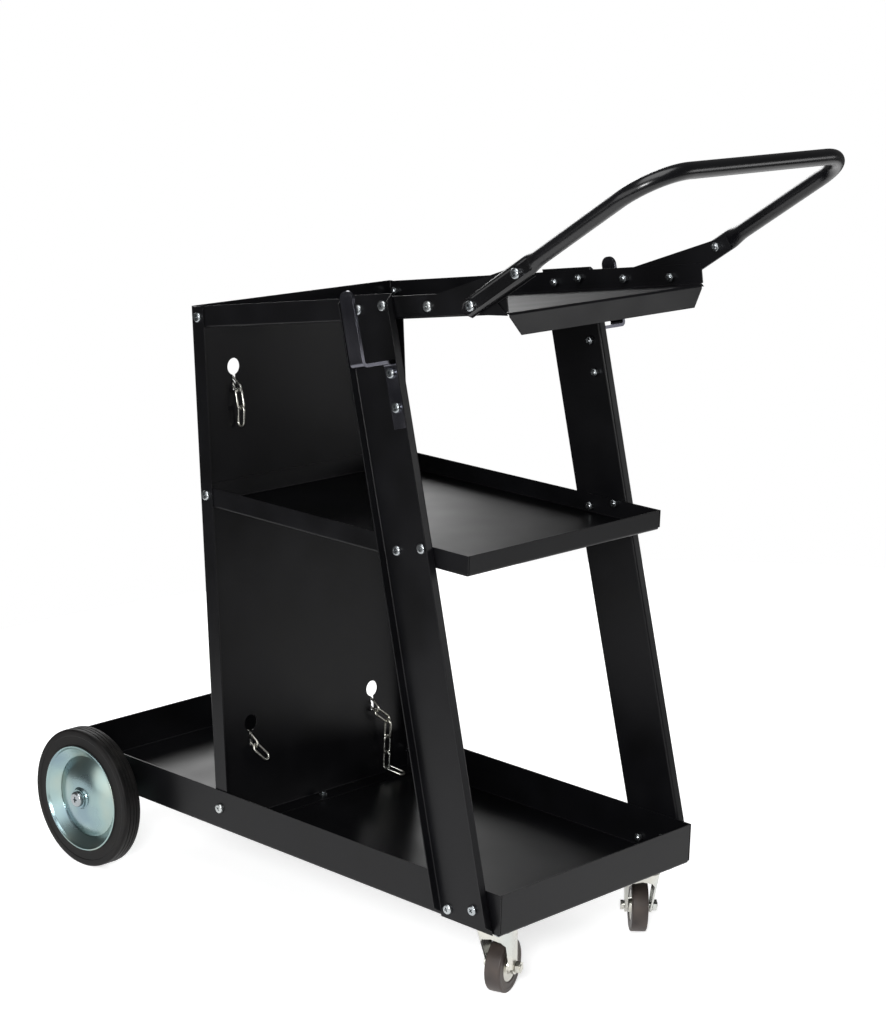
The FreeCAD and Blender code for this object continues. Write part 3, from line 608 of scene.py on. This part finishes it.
@dataclass
class MachineScrews:
    """Sets of M6 pan-head bolts with hexagon nuts, each where its CAD solid is."""

    groups: tuple[str, ...] = ("post_bolts", "panel_bolts", "handle_bolts", "hook_bolts", "caster_bolts",
                               "axle_bolts")
    shank_mm: float = 6.0
    pitch_mm: float = 1.0
    nut_flats_mm: float = 10.0
    nut_mm: float = 5.0
    tail_mm: float = 1.5
    into_head_mm: float = 0.5
    thread_depth: float = 0.55
    nut_edge_mm: float = 0.5
    around: int = 24
    turn_deg: float = 37.0
    head: PanHead = field(default_factory=lambda: PanHead(12.5, 4.0, 7.0, 1.9))

    def threaded_shank(self, length_mm: float) -> bpy.types.Object:
        """Models a shank from the head's seat down, with its thread cut past the grip.

        Args:
            length_mm: Length of the shank.

        Returns:
            The shank.
        """
        crest = self.shank_mm / 2
        root = crest - self.thread_depth * self.pitch_mm
        threaded_from = length_mm - self.tail_mm - self.nut_mm
        outline = [(self.into_head_mm, 0.0), (self.into_head_mm, crest), (-threaded_from, crest)]
        at = threaded_from
        while at + self.pitch_mm < length_mm:
            outline += [(-at - self.pitch_mm / 2, root), (-at - self.pitch_mm, crest)]
            at += self.pitch_mm
        outline += [(-length_mm, root), (-length_mm, 0.0)]
        return turned("shank", outline, Vector(), Z, steps=self.around)

    def screw(self, length_mm: float) -> bpy.types.Object:
        """Models a bolt with its nut run up, its crown towards +Z and its highest point at the origin.

        Args:
            length_mm: Length over all.

        Returns:
            The bolt as one piece.
        """
        shank_length = length_mm - self.head.height_mm
        nut = begin("nut", bpy.ops.mesh.primitive_cylinder_add, vertices=6, depth=self.nut_mm * MM,
                    radius=self.nut_flats_mm / math.sqrt(3) * MM,
                    location=(0, 0, (self.tail_mm + self.nut_mm / 2 - shank_length) * MM))
        softened(nut, self.nut_edge_mm)
        bolt = joined([self.head.build("head"), self.threaded_shank(shank_length), smooth(nut)], "screw")
        bolt.data.transform(Matrix.Translation((0, 0, -self.head.height_mm * MM)))
        return bolt

    @staticmethod
    def place_of(part: np.ndarray) -> tuple[Vector, Vector, float]:
        """Reads how a CAD bolt lies.

        Args:
            part: Corner places of its solid.

        Returns:
            Its crown, the direction towards its crown, and its length in millimetres.
        """
        low, high = part.min(axis=0), part.max(axis=0)
        size = high - low
        along = int(np.argmax(np.abs(size - np.median(size))))
        middle = (low + high) / 2
        across = np.delete(part - middle, along, axis=1)
        radii = np.hypot(*across.T)
        brim = part[radii > radii.max() * 0.98]
        way = Vector((0, 0, 0))
        way[along] = 1.0 if brim[:, along].mean() > middle[along] else -1.0
        crown = Vector(middle)
        crown[along] = high[along] if way[along] > 0 else low[along]
        return crown, way, round(float(size[along]) / MM, 1)

    def build(self, shop: PaintShop) -> None:
        """Models each length once and copies it to every place.

        Args:
            shop: Paint shop.
        """
        patterns: dict[float, bpy.types.Object] = {}
        for group in self.groups:
            screws = []
            for number, part in enumerate(loose_parts(group)):
                crown, way, length = self.place_of(part)
                if length not in patterns:
                    patterns[length] = self.screw(length)
                aside = way.orthogonal().normalized()
                turn = Matrix.Rotation(math.radians(self.turn_deg * number), 4, "Z")
                place = axes_matrix(aside, way.cross(aside), way, crown) @ turn
                screws.append(copied(patterns[length], "screw", place))
            shop.fit(joined(screws, group + "_set"), Finish.SCREW_ZINC, "frame", group)
        for pattern in patterns.values():
            removed(pattern)


@dataclass
class RetainingChain:
    """One welded-link chain; each link stands where its CAD solid is."""

    node: str
    wire_mm: float = 3.0
    length_mm: float = 28.0
    width_mm: float = 13.0
    around: int = 14
    bow_steps: int = 10

    def link(self) -> bpy.types.Object:
        """Models a link along Z with its opening across X.

        Returns:
            The link.
        """
        bow = (self.width_mm - self.wire_mm) / 2 * MM
        run = (self.length_mm - self.width_mm) / 2 * MM
        link = begin("link", bpy.ops.mesh.primitive_circle_add, vertices=self.around,
                     radius=self.wire_mm / 2 * MM, location=(bow, 0, -run))
        with editing(link):
            for sign in (1, -1):
                bpy.ops.mesh.extrude_edges_move(TRANSFORM_OT_translate={"value": (0, 0, 2 * run * sign)})
                bpy.ops.mesh.spin(steps=self.bow_steps, angle=math.pi, center=(0, 0, run * sign),
                                  axis=(0, 1, 0))
            mended()
        return smooth(link, 60)

    def build(self, shop: PaintShop) -> None:
        """Copies the link to every place of the chain.

        Args:
            shop: Paint shop.
        """
        pattern = self.link()
        links = []
        for part in loose_parts(self.node):
            middle = part.mean(axis=0)
            _, _, axes = np.linalg.svd(part - middle)
            way, aside = Vector(axes[0]).normalized(), Vector(axes[1]).normalized()
            place = axes_matrix(aside, way.cross(aside), way, Vector(middle))
            links.append(copied(pattern, "link", place))
        removed(pattern)
        shop.fit(joined(links, self.node + "_links"), Finish.BRIGHT_ZINC, "frame", self.node)


@dataclass
class HandleBow:
    """Bent tube handle, modelled with its legs level and then tipped up to its slope."""

    tube_mm: float = 18.0
    reach_mm: float = 294.0
    bend_mm: float = 56.5
    slope_deg: float = 34.65
    leg_mm: float = 176.0
    low_bolt_mm: tuple[float, float] = (-225.272, 808.4)
    end_mm: float = 14.0
    nick_mm: float = 7.0
    nick_width_mm: float = 7.2
    flat_to_mm: float = 93.8
    blend_mm: float = 22.0
    flat_mm: float = 9.0
    flat_width_mm: float = 23.1
    groove_half_mm: float = 6.6
    groove_mm: float = 1.5
    groove_past_mm: float = 6.0
    groove_skin_mm: float = 1.2
    bulge: float = 1.18
    around: int = 56
    blend_steps: int = 8
    bend_steps: int = 24

    def press(self, before: tuple[float, float], after: tuple[float, float], at: tuple[float, float]) -> None:
        """Squeezes the selected ring from one size to another, in edit mode.

        Args:
            before: The ring's thickness and width.
            after: The thickness and width that it gets.
            at: Its centre's X and Y, in millimetres.
        """
        value = (after[0] / before[0], 1.0, after[1] / before[1])
        bpy.ops.transform.resize(value=value, center_override=(at[0] * MM, at[1] * MM, 0))

    def draw_leg(self) -> None:
        """Extrudes the right leg from its pressed end to the start of its bend, in edit mode."""
        size = (self.tube_mm, self.tube_mm)
        bulge = self.flat_mm * self.bulge
        stations = [(self.end_mm, (bulge, self.nick_width_mm)),
                    (self.end_mm - self.nick_mm, (bulge, self.flat_width_mm)),
                    (-self.flat_to_mm, (bulge, self.flat_width_mm))]
        for step in range(1, self.blend_steps + 1):
            share = step / self.blend_steps
            share = share * share * (3 - 2 * share)
            across = tuple(a + (self.tube_mm - a) * share for a in (bulge, self.flat_width_mm))
            stations.append((-self.flat_to_mm - self.blend_mm * step / self.blend_steps, across))
        stations.append((-self.reach_mm + self.bend_mm, size))
        at = self.end_mm
        for place, across in stations:
            if place != at:
                move = {"value": (0, (place - at) * MM, 0)}
                bpy.ops.mesh.extrude_edges_move(TRANSFORM_OT_translate=move)
            self.press(size, across, (self.leg_mm, place))
            size, at = across, place

    def build(self, shop: PaintShop) -> None:
        """Models the right half, mirrors it and tips it up.

        Args:
            shop: Paint shop.
        """
        handle = begin("handle_bow", bpy.ops.mesh.primitive_circle_add, vertices=self.around,
                       radius=self.tube_mm / 2 * MM, location=(self.leg_mm * MM, self.end_mm * MM, 0),
                       rotation=(math.pi / 2, 0, 0))
        with editing(handle):
            self.draw_leg()
            centre = ((self.leg_mm - self.bend_mm) * MM, (self.bend_mm - self.reach_mm) * MM, 0)
            bpy.ops.mesh.spin(steps=self.bend_steps, angle=math.pi / 2, center=centre, axis=(0, 0, 1))
            move = {"value": ((self.bend_mm - self.leg_mm) * MM, 0, 0)}
            bpy.ops.mesh.extrude_edges_move(TRANSFORM_OT_translate=move)
            pick(handle, lambda place: place.y > (self.end_mm - 0.1) * MM)
            bpy.ops.mesh.edge_face_add()
            mended()
            for sign in (1, -1):
                self.flatten(handle, sign)
            outer = self.leg_mm + self.flat_mm / 2
            pick(handle, lambda place: place.y > -(self.flat_to_mm + self.groove_past_mm) * MM
                 and abs(place.z) < self.groove_half_mm * MM and place.x > (outer - self.groove_skin_mm) * MM)
            bpy.ops.transform.translate(value=(-self.groove_mm * MM, 0, 0))
        modified(handle, "MIRROR", use_axis=(True, False, False), use_mirror_merge=True,
                 merge_threshold=0.01 * MM)
        handle.data.transform(Matrix.Rotation(-math.radians(self.slope_deg), 4, "X"))
        handle.data.transform(Matrix.Translation((0, self.low_bolt_mm[0] * MM, self.low_bolt_mm[1] * MM)))
        shop.fit(smooth(handle, 50), Finish.TUBE, "frame", "handle_tube")

    def flatten(self, handle: bpy.types.Object, sign: int) -> None:
        """Flattens one face of the pressed stretch, in edit mode.

        Args:
            handle: The handle, with its leg level.
            sign: 1 for the outer face and -1 for the inner one.
        """
        face = self.leg_mm + sign * self.flat_mm / 2
        pick(handle, lambda place: place.y > -(self.flat_to_mm + 1) * MM
             and (place.x - face * MM) * sign > 0)
        bpy.ops.transform.resize(value=(0.0, 1.0, 1.0), center_override=(face * MM, 0, 0))


@dataclass
class RearWheel:
    """Pressed-steel disc wheel with a moulded solid tyre."""

    side: Side
    radius_mm: float = 90.0
    half_width_mm: float = 12.5
    shoulder_mm: float = 4.5
    lip_mm: float = 68.6
    seat_mm: float = 67.4
    step_mm: float = 54.0
    hub_mm: float = 13.0
    hub_half_mm: float = 15.0
    bore_mm: float = 6.05
    dome_mm: float = 11.0
    dome_steps: int = 14
    dome_edge_mm: float = 3.0
    dome_power: float = 2.2
    rim_rise_mm: float = 1.6
    channel_foot_mm: tuple[float, float] = (0.6, 1.5)
    channel_floor_mm: float = 0.8
    flange_mm: tuple[float, float] = (1.5, 2.6)
    flange_round_mm: float = 3.0
    lip_under_seat_mm: float = 0.6
    bead_mm: float = 1.5
    sheet_mm: float = 1.5
    wall_dip_mm: float = 0.5
    wall_past_lip_mm: tuple[float, float] = (0.8, 1.4)
    wall_under_tread_mm: tuple[float, float] = (9.0, 8.2)
    line_depth_mm: float = 1.1
    lines_mm: tuple[tuple[float, float, float], ...] = (
        (5.2, 0.65, 0.325), (0.6, 0.65, 0.325), (-4.9, 0.7, 0.3))

    def tyre(self, centre: Vector) -> bpy.types.Object:
        """Models the tyre, with fine moulded lines round its tread.

        Args:
            centre: Middle of the wheel.

        Returns:
            The tyre.
        """
        half, radius = self.half_width_mm, self.radius_mm
        dip, low = half - self.wall_dip_mm, radius - self.line_depth_mm
        wall = [(half, self.seat_mm, 0.0), (half, self.lip_mm + self.wall_past_lip_mm[0], 0.3),
                (dip, self.lip_mm + self.wall_past_lip_mm[1], 0.3),
                (dip, radius - self.wall_under_tread_mm[0], 0.5),
                (half, radius - self.wall_under_tread_mm[1], 0.5), (half, radius, self.shoulder_mm)]
        tread = []
        for middle, mouth, foot in self.lines_mm:
            tread += [(middle + mouth, radius, 0.15), (middle + foot, low, 0.1), (middle - foot, low, 0.1),
                      (middle - mouth, radius, 0.15)]
        other = [(-a, r, rounding) for a, r, rounding in reversed(wall)]
        corners = wall + tread + other + [(0.0, self.step_mm + self.sheet_mm, 0.0)]
        return turned(self.side.value + "_tyre_moulded", rounded_outline(corners), centre, X, steps=128)

    def dome(self, lift: float) -> list[tuple[float, float]]:
        """Works out the domed middle, flat at the hub and steepest at the step.

        Args:
            lift: Place along the axis that the dome rises from.

        Returns:
            Places along the axis with their radii, from the hub out.
        """
        points = []
        for step in range(self.dome_steps + 1):
            share = step / self.dome_steps
            radius = self.hub_mm + (self.step_mm - self.dome_edge_mm - self.hub_mm) * share
            points.append((lift + self.dome_mm * (1 - share ** self.dome_power), radius))
        return points

    def disc(self, centre: Vector, face: int) -> bpy.types.Object:
        """Models one pressed disc with its dome, channel and rolled lip.

        Args:
            centre: Middle of the wheel.
            face: Sign of X that the disc looks towards.

        Returns:
            The disc.
        """
        half, lip = self.half_width_mm, self.half_width_mm + self.rim_rise_mm
        t = self.sheet_mm
        channel = [(t - self.channel_foot_mm[0], self.step_mm - self.channel_foot_mm[1], 0.5),
                   (t + self.channel_floor_mm, self.step_mm, 1.0),
                   (half - self.flange_mm[0], self.seat_mm - self.flange_mm[1], self.flange_round_mm),
                   (lip, self.seat_mm - self.lip_under_seat_mm, 0.9), (lip, self.lip_mm, 0.7),
                   (half, self.lip_mm, 0.2), (half, self.seat_mm, 0.2), (0.0, self.step_mm + t, 1.0)]
        outline = self.dome(t) + rounded_outline(channel) + self.dome(0.0)[::-1]
        name = self.side.value + ("_outer_dish" if face == self.side.sign else "_inner_dish")
        return turned(name, [(face * a, r) for a, r in outline], centre, X, steps=128)

    def hub(self, centre: Vector) -> bpy.types.Object:
        """Models the hub tube with broken edges and a weld bead at each disc.

        Args:
            centre: Middle of the wheel.

        Returns:
            The hub tube.
        """
        half = self.hub_half_mm
        disc = self.dome_mm + self.sheet_mm
        corners = [(half, self.bore_mm, 0.3), (half, self.hub_mm, 0.8),
                   (disc + self.bead_mm, self.hub_mm, 0.4), (disc, self.hub_mm + self.bead_mm, 0.6)]
        corners += [(-a, r, rounding) for a, r, rounding in reversed(corners)]
        return turned(self.side.value + "_hub_tube", rounded_outline(corners, 3), centre, X, steps=64)

    def build(self, shop: PaintShop) -> None:
        """Models the wheel's pieces round its joint.

        Args:
            shop: Paint shop.
        """
        name = self.side.value
        centre = Vector(joint(name + "_wheel_spin")["pos_m"])
        body = name + "_wheel"
        shop.fit(self.tyre(centre), Finish.TYRE, body, name + "_tyre")
        shop.fit(self.disc(centre, self.side.sign), Finish.ZINC, body, name + "_outer_disc")
        shop.fit(self.disc(centre, -self.side.sign), Finish.ZINC, body, name + "_inner_disc")
        shop.fit(self.hub(centre), Finish.ZINC, body, name + "_hub")


@dataclass
class AxleTrim:
    """Cross-recessed caps on the axle's ends, with the washers and spacers behind them."""

    cap: PanHead = field(default_factory=lambda: PanHead(20.0, 5.0, 10.0, 2.6))
    edge_mm: float = 0.35

    def build(self, shop: PaintShop) -> None:
        """Models the trim where its CAD solids are.

        Args:
            shop: Paint shop.
        """
        caps = []
        pattern = self.cap.build("cap")
        for part in loose_parts("axle_caps"):
            low, high = part.min(axis=0), part.max(axis=0)
            sign = 1.0 if low[0] > 0 else -1.0
            seat = Vector((low[0] if sign > 0 else high[0], (low[1] + high[1]) / 2, (low[2] + high[2]) / 2))
            caps.append(copied(pattern, "cap", axes_matrix(Y * sign, Z, X * sign, seat)))
        removed(pattern)
        shop.fit(joined(caps, "axle_cap_screws"), Finish.SCREW_ZINC, "frame", "axle_caps")
        for node, name in (("axle_washers", "axle_washer_pair"), ("axle_spacers", "axle_spacer_pair")):
            rings = []
            for part in loose_parts(node):
                low, high = part.min(axis=0) / MM, part.max(axis=0) / MM
                middle = Vector((low + high) / 2) * MM
                radii = np.hypot(part[:, 1] - middle.y, part[:, 2] - middle.z) / MM
                half = (high[0] - low[0]) / 2
                corners = [(half, radii.min(), self.edge_mm), (half, radii.max(), self.edge_mm),
                           (-half, radii.max(), self.edge_mm), (-half, radii.min(), self.edge_mm)]
                rings.append(turned("ring", rounded_outline(corners, 3), middle, X, steps=64))
            shop.fit(joined(rings, name), Finish.ZINC, "frame", node)


@dataclass
class SwivelCaster:
    """Caster wheel of one side, its tread and core modelled round its spin joint."""

    side: Side
    radius_mm: float = 32.5
    half_tread_mm: float = 10.0
    shoulder_mm: float = 2.5
    core_mm: float = 19.0
    hub_mm: float = 8.5
    bore_mm: float = 4.05
    hub_half_mm: float = 12.6
    core_in_mm: float = 1.0
    core_rise_mm: float = 1.5
    wall_dip_mm: float = 0.4
    wall_under_tread_mm: tuple[float, float] = (6.0, 5.2)
    web_in_mm: float = 2.0
    boss_foot_mm: float = 1.0
    rim_mm: float = 3.0

    def tyre(self, centre: Vector, axis: Vector) -> bpy.types.Object:
        """Models the rubber ring with a shallow step on its sides.

        Args:
            centre: Middle of the wheel.
            axis: Direction of the wheel's axle.

        Returns:
            The rubber ring.
        """
        half, radius = self.half_tread_mm, self.radius_mm
        corners = [(half - self.core_in_mm, self.core_mm, 0.2), (half, self.core_mm + self.core_rise_mm, 0.6),
                   (half - self.wall_dip_mm, radius - self.wall_under_tread_mm[0], 0.6),
                   (half, radius - self.wall_under_tread_mm[1], 0.4), (half, radius, self.shoulder_mm)]
        corners += [(-a, r, rounding) for a, r, rounding in reversed(corners)]
        return turned(self.side.value + "_caster_tread", rounded_outline(corners), centre, axis, steps=96)

    def hub(self, centre: Vector, axis: Vector) -> bpy.types.Object:
        """Models the wheel's core with its boss.

        Args:
            centre: Middle of the wheel.
            axis: Direction of the wheel's axle.

        Returns:
            The core.
        """
        half, web = self.half_tread_mm, self.half_tread_mm - self.web_in_mm
        corners = [(self.hub_half_mm, self.bore_mm, 0.2), (self.hub_half_mm, self.hub_mm, 0.6),
                   (web, self.hub_mm + self.boss_foot_mm, 1.0), (web, self.core_mm - self.rim_mm, 1.0),
                   (half - self.core_in_mm, self.core_mm, 0.2)]
        corners += [(-a, r, rounding) for a, r, rounding in reversed(corners)]
        return turned(self.side.value + "_caster_core", rounded_outline(corners), centre, axis, steps=64)

    def build(self, shop: PaintShop) -> None:
        """Models the wheel's pieces round its spin joint.

        Args:
            shop: Paint shop.
        """
        name = self.side.value
        spin = joint(name + "_caster_spin")
        centre, axis = Vector(spin["pos_m"]), Vector(spin["axis"]).normalized()
        body = name + "_caster_wheel"
        shop.fit(self.tyre(centre, axis), Finish.CASTER, body, name + "_caster_tyre")
        shop.fit(self.hub(centre, axis), Finish.BRIGHT_ZINC, body, name + "_caster_hub")


@dataclass(frozen=True)
class SoftBox:
    """Soft box that is aimed at the cart's middle."""

    name: str
    place_m: tuple[float, float, float]
    size_m: tuple[float, float]
    watts: float


@dataclass
class Studio:
    """Pale floor, soft lights and the camera of the photograph."""

    floor_radius_m: float = 1.8
    floor_centre_m: tuple[float, float, float] = (0.4, -0.5, 0.0)
    floor_glow: float = 0.66
    sky_colour: str = "#ffffff"
    dim_strength: float = 0.12
    boxes: tuple[SoftBox, ...] = (SoftBox("left box", (-3.2, 0.1, 0.9), (3.0, 2.0), 45.0),
                                  SoftBox("key box", (-2.25, -1.75, 1.35), (0.6, 0.6), 60.0),
                                  SoftBox("top box", (-0.9, -0.7, 3.0), (2.2, 2.2), 75.0),
                                  SoftBox("front box", (2.1, -2.4, 0.95), (1.4, 0.7), 12.0),
                                  SoftBox("rear box", (1.6, 3.0, 1.8), (2.4, 1.2), 45.0))
    aim_m: tuple[float, float, float] = (0.0, 0.0, 0.45)
    lens_mm: float = 94.27
    sensor_mm: float = 36.0
    far_m: float = 100.0
    camera_mm: tuple[float, float, float] = (-2298.576, -2156.624, 1280.483)
    azimuth_deg: float = -47.209
    elevation_deg: float = 13.759
    roll_deg: float = 1.885

    def camera(self) -> None:
        """Sets up the camera at the photograph's angle."""
        azimuth, elevation, roll = (
            math.radians(a) for a in (self.azimuth_deg, self.elevation_deg, self.roll_deg))
        back = Vector((math.sin(azimuth) * math.cos(elevation), -math.cos(azimuth) * math.cos(elevation),
                       math.sin(elevation)))
        level = Vector((math.cos(azimuth), math.sin(azimuth), 0))
        over = back.cross(level)
        right = level * math.cos(roll) + over * math.sin(roll)
        up = over * math.cos(roll) - level * math.sin(roll)
        data = bpy.data.cameras.new("photo camera")
        data.lens = self.lens_mm
        data.sensor_width = self.sensor_mm
        data.clip_end = self.far_m
        camera = bpy.data.objects.new("photo camera", data)
        camera.matrix_world = axes_matrix(right, up, back, Vector(self.camera_mm) * MM)
        bpy.context.scene.collection.objects.link(camera)
        bpy.context.scene.camera = camera

    def light(self, box: SoftBox) -> None:
        """Adds a soft box.

        Args:
            box: Its name, place, size and power.
        """
        data = bpy.data.lights.new(box.name, "AREA")
        data.shape = "RECTANGLE"
        data.size, data.size_y = box.size_m
        data.energy = box.watts
        lamp = bpy.data.objects.new(box.name, data)
        lamp.visible_camera = False
        lamp.location = box.place_m
        way = Vector(self.aim_m) - Vector(box.place_m)
        lamp.rotation_euler = way.to_track_quat("-Z", "Y").to_euler()
        bpy.context.scene.collection.objects.link(lamp)

    def floor(self) -> None:
        """Lays the floor: pale matt paper, lit a little from below."""
        floor = begin("studio_floor", bpy.ops.mesh.primitive_circle_add, vertices=96,
                      radius=self.floor_radius_m, location=self.floor_centre_m, fill_type="NGON")
        material = StudioPaper().build()
        shader = next(node for node in material.node_tree.nodes if node.type == "BSDF_PRINCIPLED")
        shader.inputs["Emission Color"].default_value = linear(self.sky_colour)
        shader.inputs["Emission Strength"].default_value = self.floor_glow
        floor.data.materials.append(material)

    def build(self) -> None:
        """Builds the studio."""
        self.floor()
        world = bpy.data.worlds.new("studio")
        world.use_nodes = True
        tree = world.node_tree
        tree.nodes.clear()
        path = add_node(tree, "ShaderNodeLightPath")
        values = {"To Min": self.dim_strength, "To Max": 1.0}
        links = {"Value": path.outputs["Is Camera Ray"]}
        strength = add_node(tree, "ShaderNodeMapRange", values=values, links=links)
        shade = add_node(tree, "ShaderNodeBackground", values={"Color": linear(self.sky_colour)},
                         links={"Strength": strength.outputs["Result"]})
        add_node(tree, "ShaderNodeOutputWorld", links={"Surface": shade.outputs["Background"]})
        bpy.context.scene.world = world
        bpy.context.scene.view_settings.view_transform = "Standard"
        for box in self.boxes:
            self.light(box)
        self.camera()


def main() -> None:
    """Builds the looks in order."""
    logging.basicConfig(level=logging.INFO, format="%(name)s: %(message)s")
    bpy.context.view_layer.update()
    shop = PaintShop()
    shop.dress_frame()
    HandleBow().build(shop)
    MachineScrews().build(shop)
    for node in ("upper_chain", "lower_chain"):
        RetainingChain(node).build(shop)
    for side in Side:
        RearWheel(side).build(shop)
        SwivelCaster(side).build(shop)
    AxleTrim().build(shop)
    Studio().build()


if __name__ == "__main__":
    main()
